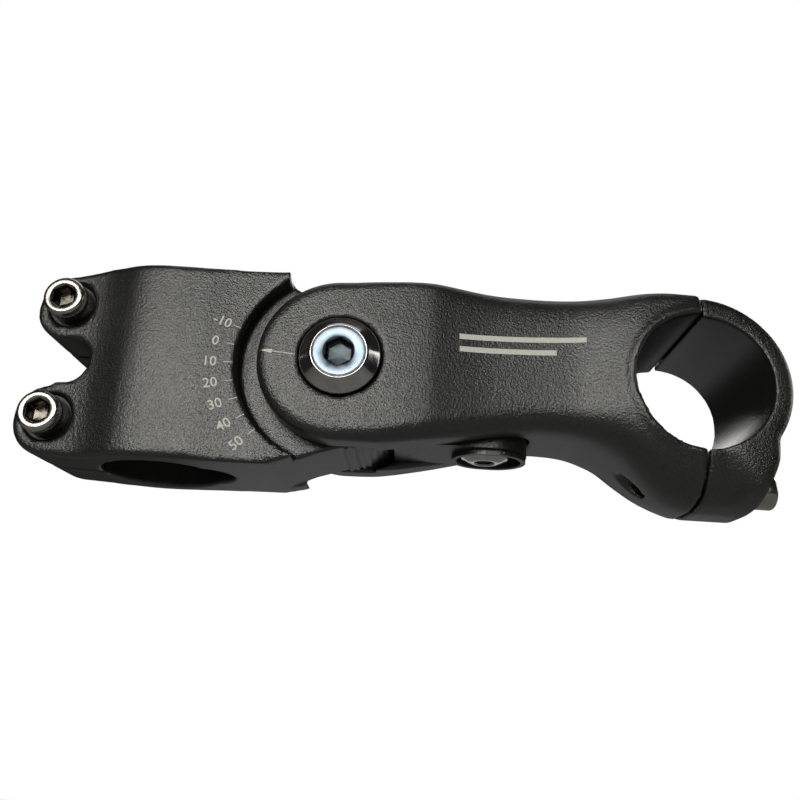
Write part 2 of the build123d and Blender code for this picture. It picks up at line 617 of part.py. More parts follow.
parts = {
    "steerer_clamp": steerer_clamp(),
    "pivot_bush": pivot_bush(),
    "side_washer_left": side_washer(1),
    "side_washer_right": side_washer(-1),
    "pinch_bolt_upper": pinch_bolt(1),
    "pinch_bolt_lower": pinch_bolt(-1),
    "pinch_washer_upper": pinch_washer(1),
    "pinch_washer_lower": pinch_washer(-1),
    "extension_arm": extension_arm(),
    "pivot_bolt": pivot_bolt(),
    "pivot_nut": pivot_nut(),
    "pivot_cone_washer": cone_washer(-1),
    "pivot_nut_washer": cone_washer(1),
    "lock_wedge": lock_wedge(),
    "lock_bolt": lock_bolt(),
    "lock_washer": lock_washer(),
    "faceplate": faceplate(),
    "faceplate_bolt": cap_bolt(),
    "faceplate_washer": cap_washer(),
}

os.makedirs("parts", exist_ok=True)
for name, shape in parts.items():
    export_step(shape, f"parts/{name}.step")
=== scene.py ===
import json
import math

import bmesh
import bpy
import numpy as np
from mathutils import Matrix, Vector
from mathutils.bvhtree import BVHTree
from mathutils.kdtree import KDTree

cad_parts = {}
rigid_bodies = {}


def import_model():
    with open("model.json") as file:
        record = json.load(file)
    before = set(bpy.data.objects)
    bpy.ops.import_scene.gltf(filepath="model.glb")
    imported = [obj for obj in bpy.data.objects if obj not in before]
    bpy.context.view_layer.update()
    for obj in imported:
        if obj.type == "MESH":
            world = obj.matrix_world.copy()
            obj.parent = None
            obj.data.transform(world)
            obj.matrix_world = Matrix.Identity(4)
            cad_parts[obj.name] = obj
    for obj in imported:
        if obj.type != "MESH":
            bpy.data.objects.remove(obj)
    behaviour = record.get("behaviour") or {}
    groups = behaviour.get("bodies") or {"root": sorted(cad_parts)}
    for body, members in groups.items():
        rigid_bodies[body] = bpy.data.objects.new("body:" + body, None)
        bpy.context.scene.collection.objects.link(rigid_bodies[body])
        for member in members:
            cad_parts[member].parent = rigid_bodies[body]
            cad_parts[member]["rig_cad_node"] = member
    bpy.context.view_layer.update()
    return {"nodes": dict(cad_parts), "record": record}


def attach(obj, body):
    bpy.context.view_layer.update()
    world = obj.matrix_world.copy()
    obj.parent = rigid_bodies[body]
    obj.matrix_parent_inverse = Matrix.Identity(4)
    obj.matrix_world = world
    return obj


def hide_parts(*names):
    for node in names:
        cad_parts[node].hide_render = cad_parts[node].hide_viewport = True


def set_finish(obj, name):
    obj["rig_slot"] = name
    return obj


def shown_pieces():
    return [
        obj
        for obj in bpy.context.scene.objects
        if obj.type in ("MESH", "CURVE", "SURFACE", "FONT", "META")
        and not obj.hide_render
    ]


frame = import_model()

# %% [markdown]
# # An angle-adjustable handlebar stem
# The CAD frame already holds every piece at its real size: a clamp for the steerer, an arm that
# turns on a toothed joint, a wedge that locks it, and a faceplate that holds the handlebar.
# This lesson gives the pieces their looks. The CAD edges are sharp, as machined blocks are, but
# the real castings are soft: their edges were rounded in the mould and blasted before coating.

MM = 0.001

# %% [markdown]
# ## Two frames
# Lengths below are in millimetres and become metres as they enter a mesh. The arm has its own
# frame: its origin is the pivot, and its long axis droops a little, because the arm stands
# about a degree below level. A point of the arm is turned by the droop, then moved to the pivot.

# %% Sizes that several cells share
PIVOT = np.array([43.5, 0.0, 1.2])  # the arm's hinge
DROOP = math.radians(1.1)
STEERER_RADIUS = 14.3
BAR_X = 84.2  # from the pivot to the handlebar's centre
BAR_RADIUS = 15.9
ARM_HALF_WIDTH = 20.9
SKIN = 0.05  # how far a skin stays inside the CAD outline
WELD = 0.002  # points closer than this become one


def from_arm(points):
    """Arm frame to object frame: x turns towards -z by the droop, then the pivot is added."""
    x, y, z = np.moveaxis(np.asarray(points, float), -1, 0)
    c, s = math.cos(DROOP), math.sin(DROOP)
    return np.stack([x * c + z * s, y, z * c - x * s], -1) + PIVOT


def to_arm(points):
    """Object frame to arm frame: the pivot is taken off, then x turns back by the droop."""
    x, y, z = np.moveaxis(np.asarray(points, float) - PIVOT, -1, 0)
    c, s = math.cos(DROOP), math.sin(DROOP)
    return np.stack([x * c - z * s, y, z * c + x * s], -1)


# %% [markdown]
# ## Small tools
# A smooth line through a few measured stations is a cubic Hermite curve: each span is a cubic
# whose slopes at both ends are the mean slopes of its neighbours. A grid of points becomes a
# mesh by joining each point to the next in both directions.

# %% Curves through stations, and grids
def smooth_line(stations):
    """Cubic Hermite through (x, value) stations; slopes are central differences."""
    xs, vs = np.array(stations, float).T
    slopes = np.gradient(vs, xs)

    def line(x):
        x = np.clip(x, xs[0], xs[-1])
        k = np.clip(np.searchsorted(xs, x, side="right") - 1, 0, len(xs) - 2)
        h = xs[k + 1] - xs[k]
        t = (x - xs[k]) / h
        rise = vs[k] * (2 * t**3 - 3 * t**2 + 1) + vs[k + 1] * (3 * t**2 - 2 * t**3)
        return rise + h * (slopes[k] * (t**3 - 2 * t**2 + t) + slopes[k + 1] * (t**3 - t**2))

    return line


def ramp(x, low, high):
    """0 below low, 1 above high, and the smooth cubic 3t^2 - 2t^3 between them."""
    t = np.clip((x - low) / (high - low), 0, 1)
    return t * t * (3 - 2 * t)


def grid_faces(rows, cols, wrap_rows=False, wrap_cols=False):
    """Quads of a rows x cols grid: corner (i, j) joined to (i+1, j), (i+1, j+1), (i, j+1)."""
    i, j = np.meshgrid(
        np.arange(rows if wrap_rows else rows - 1),
        np.arange(cols if wrap_cols else cols - 1), indexing="ij")
    i2, j2 = (i + 1) % rows, (j + 1) % cols
    quads = np.stack([i * cols + j, i2 * cols + j, i2 * cols + j2, i * cols + j2], -1)
    return quads.reshape(-1, 4)


def make_object(name, points, faces, smooth=True):
    """A mesh object from points in millimetres; doubled points are merged, faces turned out."""
    mesh = bpy.data.meshes.new(name)
    in_metres = np.asarray(points).reshape(-1, 3) * MM
    mesh.from_pydata(in_metres.tolist(), [], [list(f) for f in faces])
    tidy = bmesh.new()
    tidy.from_mesh(mesh)
    bmesh.ops.remove_doubles(tidy, verts=tidy.verts, dist=WELD * MM)
    bmesh.ops.dissolve_degenerate(tidy, edges=tidy.edges, dist=WELD * MM)
    bmesh.ops.recalc_face_normals(tidy, faces=tidy.faces)
    tidy.to_mesh(mesh)
    tidy.free()
    mesh.polygons.foreach_set("use_smooth", [smooth] * len(mesh.polygons))
    obj = bpy.data.objects.new(name, mesh)
    bpy.context.scene.collection.objects.link(obj)
    return obj


def coordinates(mesh):
    """The vertices of a mesh in millimetres, as an array."""
    flat = np.empty(len(mesh.vertices) * 3)
    mesh.vertices.foreach_get("co", flat)
    return flat.reshape(-1, 3) / MM


# %% [markdown]
# ## Skins over the castings
# Each casting is imagined as a fan of half sections. A half section starts on one side face at
# the casting's middle line, runs out to the edge, over it, and back on the other side face. Its
# shape is a rounded rectangle where the casting is slab-like, and a superellipse where it is
# full and soft. Written as a distance from the middle at each angle, both blend with a weight.

# %% The half section
ANGLES = np.linspace(-math.pi / 2, math.pi / 2, 145)


def half_section(reach, width, radius, power, full):
    """Distance from the middle at each angle, for arrays of stations.

    Rounded rectangle: the ray along d meets a side, or the corner circle about c, which is at
    d.c + sqrt((d.c)^2 - c^2 + r^2). Superellipse: (|cos/reach|^n + |sin/width|^n)^(-1/n).
    full is the weight of the superellipse: 0 is slab-like, 1 is round."""
    reach, width, radius, power, full = (
        np.broadcast_to(np.asarray(v, float), np.shape(reach))[:, None]
        for v in (reach, width, radius, power, full))
    co, si = np.cos(ANGLES)[None], np.abs(np.sin(ANGLES))[None]
    side = np.minimum(reach / np.maximum(co, 1e-9), width / np.maximum(si, 1e-9))
    cx, cy = reach - radius, width - radius
    dot = co * cx + si * cy
    corner = dot + np.sqrt(np.maximum(dot**2 - cx**2 - cy**2 + radius**2, 0))
    in_corner = (side * co > cx) & (side * si > cy)
    slab = np.where(in_corner, corner, side)
    soft = ((co / reach) ** power + (si / width) ** power) ** (-1 / power)
    return slab * (1 - full) + soft * full


def skin(name, middle, edge, width, radius, power, full, place=None, closed=False, plan=None):
    """A closed skin: at each station a half section stands between middle and edge points.

    width is the half width at each station. plan, if given, is a half width for every x, and
    replaces it point by point. closed joins the last station to the first, as round a ring."""
    out = edge - middle
    reach = np.linalg.norm(out, axis=1)
    distance = half_section(reach, width, radius, power, full)
    away = distance * np.cos(ANGLES)
    x = middle[:, 0, None] + out[:, 0, None] / reach[:, None] * away
    z = middle[:, 1, None] + out[:, 1, None] / reach[:, None] * away
    across = distance * np.sin(ANGLES)
    if plan is not None:
        across = across * plan(x) / np.reshape(width, (-1, 1))
    points = np.stack([x, across, z], -1)
    rows, cols = points.shape[:2]
    faces = grid_faces(rows, cols, wrap_rows=closed).tolist()
    if not closed:
        faces.append(list(range(cols)) + [(rows - 1) * cols + j for j in range(cols)][::-1])
    if place is not None:
        points = place(points)
    return make_object(name, points, faces)


# %% [markdown]
# ## From skin to casting
# The skin has no bores, slots or teeth, and the CAD node has no soft edges. Their common part
# has both. It is then rebuilt from small even cells and relaxed, which rounds every cut edge a
# little, as blasting does. The relaxing is weaker where a weight says so, to keep the teeth.

# %% Common part, even cells, relaxing
def applied(obj):
    """The object with its modifiers worked into a new mesh."""
    bpy.context.view_layer.update()
    view = bpy.context.evaluated_depsgraph_get()
    mesh = bpy.data.meshes.new_from_object(obj.evaluated_get(view))
    obj.modifiers.clear()
    obj.data = mesh
    return obj


def merged_copy(node):
    """A closed copy of a CAD node: its loose triangles are joined where they touch."""
    mesh = frame["nodes"][node].data.copy()
    tidy = bmesh.new()
    tidy.from_mesh(mesh)
    bmesh.ops.remove_doubles(tidy, verts=tidy.verts, dist=WELD / 2 * MM)
    tidy.to_mesh(mesh)
    tidy.free()
    mesh.materials.clear()
    obj = bpy.data.objects.new(node + "_copy", mesh)
    bpy.context.scene.collection.objects.link(obj)
    return obj


def relax(mesh, rounds, weight):
    """Moves each vertex half way to the mean of its neighbours, times its weight, many times."""
    co = coordinates(mesh)
    ends = np.empty(len(mesh.edges) * 2, int)
    mesh.edges.foreach_get("vertices", ends)
    a, b = ends.reshape(-1, 2).T
    count = np.bincount(a, minlength=len(co)) + np.bincount(b, minlength=len(co))
    step = (0.5 * weight / np.maximum(count, 1))[:, None]
    for _ in range(rounds):
        total = np.stack([
            np.bincount(a, co[b, k], len(co)) + np.bincount(b, co[a, k], len(co))
            for k in range(3)], -1)
        co = co + step * (total - count[:, None] * co)
    mesh.vertices.foreach_set("co", (co * MM).ravel())
    mesh.update()


def cast(obj, node, cell, rounds, weight, shape=None):
    """Skin and CAD node become one casting of even cells, cell millimetres wide.

    shape, if given, moves the points before the relaxing."""
    cutter = merged_copy(node)
    cut = obj.modifiers.new("common", "BOOLEAN")
    cut.operation, cut.solver, cut.object = "INTERSECT", "MANIFOLD", cutter
    applied(obj)
    bpy.data.objects.remove(cutter)
    cells = obj.modifiers.new("cells", "REMESH")
    cells.mode, cells.voxel_size, cells.use_smooth_shade = "VOXEL", cell * MM, True
    applied(obj)
    co = coordinates(obj.data)
    if shape is not None:
        co = shape(co)
        obj.data.vertices.foreach_set("co", (co * MM).ravel())
    relax(obj.data, rounds, weight(co))
    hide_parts(node)
    print(obj.name, len(obj.data.polygons), "faces")
    return obj


# %% [markdown]
# ## The arm
# Seen from the side the arm is a round nose about the pivot, a nearly straight top, a waist
# underneath and a ring round the bar. Seen from above it narrows at the waist. The underside is
# flat across at the nose, and turns into a deep round jaw under the bar.

# %% The arm's skin
ARM_END = 95  # past the bar's centre, where the CAD node cuts the skin off
NOSE_RADIUS = 19.55
arm_top = smooth_line([
    (0, 19.6), (11, 20.5), (22, 21.2), (36, 21.2), (51, 21.1), (61, 21.5), (72, 22.3),
    (84, 22.0), (ARM_END, 21.8)])
arm_bottom = smooth_line([
    (0, 19.6), (10, 19.3), (21, 17.5), (37, 14.6), (50, 13.0), (61, 14.7), (66, 17.2), (70, 20.8),
    (74.5, 24.6), (84, 28.75), (ARM_END, 29.2)])
arm_width = smooth_line([
    (-20, 20.8), (0, 20.8), (13, 20.7), (20, 20.0), (27, 18.5), (34, 17.3), (41, 16.7),
    (49, 16.5), (56, 16.9), (63, 18.6), (68, 19.7), (76, 20.1), (ARM_END, 20.2)])
along = np.linspace(ARM_END, 0, 240)
back = along[::-1]
fan = np.linspace(math.pi, 2 * math.pi, 90)[1:-1]
under = np.stack([along, -arm_bottom(along) + SKIN], 1)
nose = NOSE_RADIUS * np.stack([np.sin(fan), np.cos(fan)], 1)
over = np.stack([back, arm_top(back) - SKIN], 1)
edge = np.concatenate([under, nose, over])
middle = np.concatenate([np.stack([along, along * 0], 1), nose * 0, np.stack([back, back * 0], 1)])
lower = np.concatenate([np.ones(len(along)), np.zeros(len(nose)), np.zeros(len(back))])

# %% [markdown]
# Near the pivot the sections are slabs with a small corner. Below, they grow rounder from the
# wedge on, and are nearly an ellipse at the jaw. On top they are softest at the waist.

# %% How round the arm is along its length
x = middle[:, 0]
under_full = ramp(x, 26, 46)
top_full = 0.8 * ramp(x, 18, 40) * (1 - 0.7 * ramp(x, 62, 78))
arm_skin = skin(
    "arm_casting", middle, edge,
    width=arm_width(x),
    radius=2.6 + 1.6 * lower * ramp(x, 2, 15),
    power=np.where(lower > 0, 6 - 3.2 * ramp(x, 50, 80), 6.5),
    full=lower * under_full + (1 - lower) * top_full,
    place=from_arm)
LIP_START, LIP_MIDDLE, LIP_HALF, LIP_HEIGHT = -0.3, 1.1, 1.6, 0.75
FORK_RADIUS, FORK_HALF = 22, 13.5


def bore_lip(co):
    """Raises a rounded rim on both side faces: a cosine hump in the distance from the bore."""
    local = to_arm(co)
    gap = np.hypot(local[:, 0] - BAR_X, local[:, 2]) - BAR_RADIUS
    away = gap - LIP_MIDDLE
    on_lip = (gap > LIP_START) & (np.abs(away) < LIP_HALF)
    hump = np.where(on_lip, 0.5 + 0.5 * np.cos(away / LIP_HALF * math.pi), 0)
    side = np.sign(local[:, 1]) * ramp(np.abs(local[:, 1]), 18.0, 19.0)
    co = co.copy()
    co[:, 1] += LIP_HEIGHT * hump * side
    return co


def arm_weight(co):
    """Full relaxing outside, less inside the fork and in the wedge's pocket."""
    local = to_arm(co)
    inside = (np.hypot(local[:, 0], local[:, 2]) < FORK_RADIUS) & (np.abs(local[:, 1]) < FORK_HALF)
    return np.where(inside, 0.3, 1.0)


cast(arm_skin, "extension_arm", 0.52, 7, arm_weight, bore_lip)
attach(arm_skin, "arm")
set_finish(arm_skin, "black_coating")

# %% [markdown]
# ## The steerer clamp
# The clamp is slab-like, with a bulge over the steerer's bore and two ears at the rear. Its
# sections stand along the length: the plan gives each one's width and the side view its height.

# %% The clamp's skin
clamp_width = smooth_line([
    (-34, 13.5), (-28, 14.1), (-24, 14.45), (-20, 14.8), (-16, 15.35), (-12, 16.5), (-8.5, 17.9),
    (-5, 18.85), (-1, 19.2), (4, 19.0), (13, 18.35), (24, 18.6), (34, 18.8), (50, 18.8)])
EAR_X, EAR_STAGGER, EAR_Z, EAR_RADIUS, EAR_DROP = -23.8, 0.4, 14.3, 8.45, 0.6
CLAMP_TOP = 23.95
NECK_X = -STEERER_RADIUS  # where the necks of the ears meet the level top and bottom
CLAMP_END = 66  # past the tongue, where the CAD node cuts the skin off


def ear_line(side, x):
    """Height of the side view's outline: an ear's circle, a sloping neck, then level."""
    ear_x, ear_z = EAR_X + side * EAR_STAGGER, EAR_Z - side * EAR_DROP
    crown = ear_z + np.sqrt(np.maximum(EAR_RADIUS**2 - np.minimum(x - ear_x, 0) ** 2, 0))
    share = np.clip((x - ear_x) / (NECK_X - ear_x), 0, 1)
    return np.where(x < ear_x, crown, (ear_z + EAR_RADIUS) * (1 - share) + CLAMP_TOP * share)


def clamp_edge(side):
    """Points from the front of the side view to the rearmost point of one ear.

    Both sides share the level part's points, so that the skin closes along its middle."""
    ear_x = EAR_X + side * EAR_STAGGER
    level = np.linspace(CLAMP_END, NECK_X, 215)
    neck = np.linspace(NECK_X, ear_x, 30)[1:-1]
    round_way = ear_x - EAR_RADIUS * np.sin(np.linspace(0, math.pi / 2, 40))
    x = np.concatenate([level, neck, round_way])
    return np.stack([x, side * ear_line(side, x)], 1)


upper, lower_edge = clamp_edge(1), clamp_edge(-1)
share = np.linspace(0, 1, 32)[1:-1, None]
rear = upper[-1] * (1 - share) + lower_edge[-1] * share
edge = np.concatenate([upper, rear, lower_edge[::-1]])
middle = np.stack([np.maximum(edge[:, 0], NECK_X), np.zeros(len(edge))], 1)
clamp_skin = skin(
    "clamp_casting", middle, edge, width=clamp_width(middle[:, 0]),
    radius=1.2, power=8.0, full=0.0, plan=clamp_width)
TONGUE_HALF, TONGUE_RADIUS, TOOTH_EASE = 12.5, 22, 0.6


def clamp_weight(co):
    """Least relaxing at the teeth, little in the bore, most at the ears and the outer edges."""
    from_pivot = np.hypot(co[:, 0] - PIVOT[0], co[:, 2] - PIVOT[2])
    tongue = (np.abs(co[:, 1]) < TONGUE_HALF) & (from_pivot < TONGUE_RADIUS)
    bore = np.hypot(co[:, 0], co[:, 1]) < STEERER_RADIUS + 0.7
    return np.where(tongue, 0.12, np.where(bore, 0.5, 1.0))


def tooth_ease(co):
    """Draws the tongue's toothed edge towards the pivot, as room for the wedge's teeth."""
    away = co[:, [0, 2]] - PIVOT[[0, 2]]
    distance = np.hypot(away[:, 0], away[:, 1])
    on_tongue = (np.abs(co[:, 1]) < TONGUE_HALF) & (distance < TONGUE_RADIUS)
    share = ramp(distance, 17.5, 19.4) * ramp(away[:, 0], 0.0, 2.0) * on_tongue
    co = co.copy()
    co[:, [0, 2]] -= away * (share * TOOTH_EASE / distance)[:, None]
    return co


cast(clamp_skin, "steerer_clamp", 0.53, 5, clamp_weight, tooth_ease)
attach(clamp_skin, "clamp")
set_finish(clamp_skin, "black_coating")

# %% [markdown]
# ## The faceplate
# The faceplate is a half ring with a lobe under it for the bolt. Its sections fan out from the
# bar's centre like the spokes of a wheel. At the lobe they are full and round across, so the
# lower jaw ends in a soft arc; round the ring they are flat bands with soft edges. The lobe is
# bounded by three straight edges: a brow, a front and a low one. Five neighbouring reaches are
# averaged, which rounds the corners between them.

# %% The faceplate's skin
turn = np.linspace(-math.pi, math.pi, 361)[:-1]


def straight(distance, heading):
    """Reach of a straight edge: its distance over the cosine of the angle to its normal."""
    return distance / np.maximum(np.cos(turn - math.radians(heading)), 1e-6)


ring = 21.5 - 0.8 * np.cos(turn)
brow, front, low = straight(20.6, -16.34), straight(17.36, -3.81), straight(28.6, -90)
lobe = np.where(np.cos(turn) > 0, np.minimum(np.minimum(brow, front), low), low)
downward = (turn < -0.2) & (turn > -2.0)
reach = np.where(downward, np.maximum(ring, lobe), ring)
PAD = 6
padded = np.concatenate([reach[-PAD:], reach, reach[:PAD]])
reach = np.convolve(padded, np.ones(5) / 5, "same")[PAD:-PAD]
spoke = np.stack([np.cos(turn), np.sin(turn)], 1)
centre = np.array([BAR_X, 0.0])
below = ramp(-turn, 0.75, 1.35) * (turn < 0)
plate_skin = skin(
    "faceplate_casting", np.tile(centre, (len(turn), 1)), centre + spoke * reach[:, None],
    width=18.5, radius=1.8, power=8.0 - 5.0 * below, full=0.15 + 0.85 * below,
    place=from_arm, closed=True)
cast(plate_skin, "faceplate", 0.4, 6, lambda co: np.ones(len(co)))
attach(plate_skin, "faceplate_body")
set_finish(plate_skin, "black_coating")

# %% [markdown]
# ## Socket bolts
# A socket bolt is a turned shape with a hexagonal hole. Both fit on one grid: each row is a
# closed loop about the axis, and the radius of a loop is either round or hexagonal. The round
# rows go up the shank and over the head's rim, and the hexagonal rows go down into the socket.

# %% Bolts, cones and washers as grids of loops
def hexagon(theta, flats):
    """Polar radius of a hexagon: half its width over flats, divided by the cosine to a side."""
    return flats / 2 / np.cos((theta + math.pi / 6) % (math.pi / 3) - math.pi / 6)


def turned(name, rows, place, sides=96):
    """Loops (kind, size, height) about +Z; kind 'o' is a circle, 'h' a hexagon, both in mm.

    The number "sunk" is 1 on every loop from the first hexagon on, and 0 before it."""
    theta = np.linspace(0, 2 * math.pi, sides, endpoint=False)
    radii = np.stack([
        np.full(sides, size) if kind == "o" else hexagon(theta, size)
        for kind, size, _ in rows])
    heights = np.array([row[2] for row in rows])[:, None] + 0 * radii
    points = place(np.stack([radii * np.cos(theta), radii * np.sin(theta), heights], -1))
    obj = make_object(name, points, grid_faces(len(rows), sides, wrap_cols=True))
    in_socket = np.repeat(np.cumsum([kind == "h" for kind, _, _ in rows]) > 0, sides)
    finder = KDTree(len(in_socket))
    for k, point in enumerate(points.reshape(-1, 3)):
        finder.insert(point, k)
    finder.balance()
    sunk = [float(in_socket[finder.find(corner)[1]]) for corner in coordinates(obj.data)]
    obj.data.attributes.new("sunk", "FLOAT", "POINT").data.foreach_set("value", sunk)
    return obj


def round_over(radius, height, soft, steps=7):
    """Rows of a rim's round edge: a quarter circle from the side to the top."""
    t = np.linspace(0, math.pi / 2, steps)
    return [("o", radius - soft + soft * math.cos(a), height - soft + soft * math.sin(a)) for a in t]


SOCKET_DEPTH = 0.6  # share of a head's height


def bolt_rows(shank, length, head, tall, flats, soft, dome=0.0):
    """Shank tip at z = -length, head's underside at z = 0, socket in the top."""
    rows = [("o", 0.0, -length), ("o", shank - 0.5, -length), ("o", shank, -length + 0.5)]
    rows += [("o", shank, 0.0), ("o", head - 0.15, 0.0), ("o", head, 0.15)]
    rows += round_over(head, tall - dome, soft)
    mouth = flats / 2 / math.cos(math.pi / 6) + 0.35
    if dome:
        flank = head - soft - mouth
        rows += [("o", mouth + flank * s, tall - dome * s * s) for s in (0.75, 0.5, 0.25)]
    rows += [("o", mouth, tall), ("o", mouth - 0.12, tall - 0.05)]
    rows += [("h", flats, tall - 0.35), ("h", flats, tall - 0.45)]
    floor_level = tall - tall * SOCKET_DEPTH
    rows += [("h", flats, floor_level), ("h", flats * 0.8, floor_level - 0.1)]
    rows += [("o", 0.0, floor_level - 0.5)]
    return rows


def towards(axis, seat):
    """Turns +Z to an axis and moves the origin to a seat point, in the arm or object frame."""
    turn_to = np.array(Vector((0, 0, 1)).rotation_difference(Vector(axis)).to_matrix())

    def place(points):
        return points @ turn_to.T + np.array(seat)

    return place


def bolt(name, node, body, material_slot, rows, place):
    """A turned piece that stands for a CAD node and rides on its body."""
    obj = turned(name, rows, place)
    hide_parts(node)
    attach(obj, body)
    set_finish(obj, material_slot)
    return obj


EAR_HALF_WIDTH, COUNTERBORE, WASHER = 14.5, 1.8, 0.8
pinch_seat = -(EAR_HALF_WIDTH - COUNTERBORE + WASHER)
for name, sign in (("upper", 1), ("lower", -1)):
    seat = (EAR_X + sign * EAR_STAGGER, pinch_seat, sign * EAR_Z)
    rows = bolt_rows(shank=2.98, length=25.1, head=4.88, tall=5.98, flats=5.0, soft=0.9)
    bolt(f"pinch_bolt_{name}_turned", f"pinch_bolt_{name}", f"{name}_pinch_bolt", "bolt_steel",
         rows, towards((0, -1, 0), seat))


def arm_place(axis, seat):
    """As towards(), and then from the arm's frame to the object's."""
    inner = towards(axis, seat)
    return lambda points: from_arm(inner(points))


# %% [markdown]
# The pivot screw has a thin threaded end that enters the far nut, a thick shank, and a flat
# head that lies flush in a cone. The cone is the same on both sides of the arm.

# %% The pivot screw and its cones
CONE_HEIGHT, CONE_SEAT, SCREW_HEAD = 2.8, 2.6, 4.6
rows = [("o", 0.0, -36.0), ("o", 2.6, -36.0), ("o", 2.8, -35.8), ("o", 2.8, -28.6)]
rows += [("o", 3.98, -28.5), ("o", 3.98, 0.0), ("o", 5.9, 0.0), ("o", 5.98, 0.1)]
rows += round_over(5.98, 4.58, 0.3)
rows += [("o", 3.75, 4.58), ("o", 3.6, 4.5), ("h", 6.0, 4.2), ("h", 6.0, 4.1), ("h", 6.0, 1.9)]
rows += [("h", 4.8, 1.8), ("o", 0.0, 1.4)]
screw_seat = -(ARM_HALF_WIDTH + CONE_HEIGHT - SCREW_HEAD)
bolt("pivot_bolt_turned", "pivot_bolt", "pivot_bolt_body", "blue_zinc",
     rows, arm_place((0, -1, 0), (0.0, screw_seat, 0.0)))

cone_rows = [("o", 6.1, 5.38), ("o", 6.45, 5.38), ("o", 6.6, 5.3)]
cone_rows += [("o", 6.6 + 2.75 * s, 5.3 - 2.6 * s) for s in np.linspace(0.1, 1, 10)]
cone_rows += [("o", 9.38, 2.5), ("o", 9.38, 0.02), ("o", 4.35, 0.02), ("o", 4.35, 0.78)]
cone_rows += [("o", 6.1, 0.78), ("o", 6.1, 5.38)]
for name, node, sign in (("cone_near", "pivot_cone_washer", -1), ("cone_far", "pivot_nut_washer", 1)):
    place = arm_place((0, sign, 0), (0.0, sign * (ARM_HALF_WIDTH - CONE_SEAT), 0.0))
    bolt(name, node, "arm", "polished_steel", cone_rows[::-1], place)

# %% [markdown]
# The lock bolt hangs in the wedge's boss, with its head sunk a little. The wedge rests backed
# off down its slope, and the bolt hangs lower by the upright part of that slide.

# %% The lock bolt and the faceplate bolt
LOCK_X, WEDGE_BOTTOM, BOSS, HEAD_SINK, LOCK_HEAD = 35.7, 15.9, 1.3, 0.4, 3.3
WEDGE_TRAVEL, WEDGE_SLOPE = 1.2, 0.75
lock_drop = WEDGE_TRAVEL * math.sin(math.atan(WEDGE_SLOPE))
lock_seat = LOCK_HEAD - WEDGE_BOTTOM - BOSS - HEAD_SINK
rows = bolt_rows(shank=2.98, length=17.9, head=5.98, tall=3.28, flats=4.0, soft=0.7, dome=0.9)
bolt("lock_bolt_turned", "lock_bolt", "lock_bolt_body", "polished_steel", rows,
     arm_place((0, 0, -1), (LOCK_X, 0.0, lock_seat - lock_drop)))

JAW_DROP, FACEPLATE_EAR = 21.4, 15.5
rows = bolt_rows(shank=2.48, length=24.9, head=4.18, tall=4.98, flats=4.0, soft=0.7)
bolt("faceplate_bolt_turned", "faceplate_bolt", "faceplate_bolt_body", "bolt_steel", rows,
     arm_place((1, 0, 0), (BAR_X + FACEPLATE_EAR + WASHER, 0.0, -JAW_DROP)))

# %% [markdown]
# ## Etched marks
# A pointer on the arm's nose reads against a scale on the clamp: a short line and a number every
# ten degrees. The marks are burnt into the coating by a laser, so they are nearly flush. Here
# they are thin plates laid on the castings: each corner is dropped on to the surface along Y.

# %% Laying flat marks on a casting
def surface_of(obj):
    """A search tree over a casting's faces, in metres."""
    mesh = obj.data
    co = coordinates(mesh) * MM
    return BVHTree.FromPolygons(co.tolist(), [tuple(p.vertices) for p in mesh.polygons])


MARK_LIFT, MARK_THICKNESS, RAY_START = 0.012, 0.05, -40.0


def drape(name, outlines, tree, body):
    """Flat polygons in (x, z) millimetres, each corner moved along Y to just off the surface."""
    points, faces = [], []
    for outline in outlines:
        start = len(points)
        for px, pz in outline:
            start_of_ray = Vector((px * MM, RAY_START * MM, pz * MM))
            hit = tree.ray_cast(start_of_ray, Vector((0, 1, 0)))[0]
            points.append((px, hit.y / MM - MARK_LIFT, pz))
        faces.append([start + k for k in range(len(outline))])
    obj = make_object(name, points, faces, smooth=False)
    solid = obj.modifiers.new("plate", "SOLIDIFY")
    solid.thickness, solid.offset = MARK_THICKNESS * MM, -1.0
    applied(obj)
    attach(obj, body)
    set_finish(obj, "black_coating")
    return obj


def stroke(start, end, wide, wide_end=None, parts=6):
    """A straight line of a given width as quads, so that it can bend over the surface."""
    start, end = np.array(start, float), np.array(end, float)
    across = np.array([-(end - start)[1], (end - start)[0]]) / np.linalg.norm(end - start)
    t = np.linspace(0, 1, parts + 1)[:, None]
    line = start * (1 - t) + end * t
    half = (wide * (1 - t) + (wide if wide_end is None else wide_end) * t) / 2
    left, right = line + across * half, line - across * half
    return [(left[k], right[k], right[k + 1], left[k + 1]) for k in range(parts)]


clamp_tree, arm_tree = surface_of(clamp_skin), surface_of(arm_skin)

# %% [markdown]
# The scale is read against the pointer. A reading of a degrees lies a - 6.9 degrees round from
# the rear, because the clamp's scale was set out for a level arm. Each number stands outside its
# line, turned to face the pivot.

# %% Scale, numbers, pointer and stripes
SCALE_ZERO = 6.9
LINE_FROM, LINE_TO, LINE_WIDE = 25.3, 27.3, 0.17
NUMBER_AT, SHORT_NUMBER_AT, NUMBER_TALL = 30.5, 29.9, 2.3
scale_lines, numbers = [], []
for reading in range(-10, 60, 10):
    angle = math.radians(reading - SCALE_ZERO)
    outward = np.array([-math.cos(angle), -math.sin(angle)])
    axis_point = PIVOT[[0, 2]]
    scale_lines += stroke(axis_point + outward * LINE_FROM, axis_point + outward * LINE_TO, LINE_WIDE)
    number_at = NUMBER_AT if reading > 0 else SHORT_NUMBER_AT
    numbers.append((str(reading), axis_point + outward * number_at, angle))
drape("scale_lines", scale_lines, clamp_tree, "clamp")
CAPITAL = 0.7  # height of a digit in a font of size 1


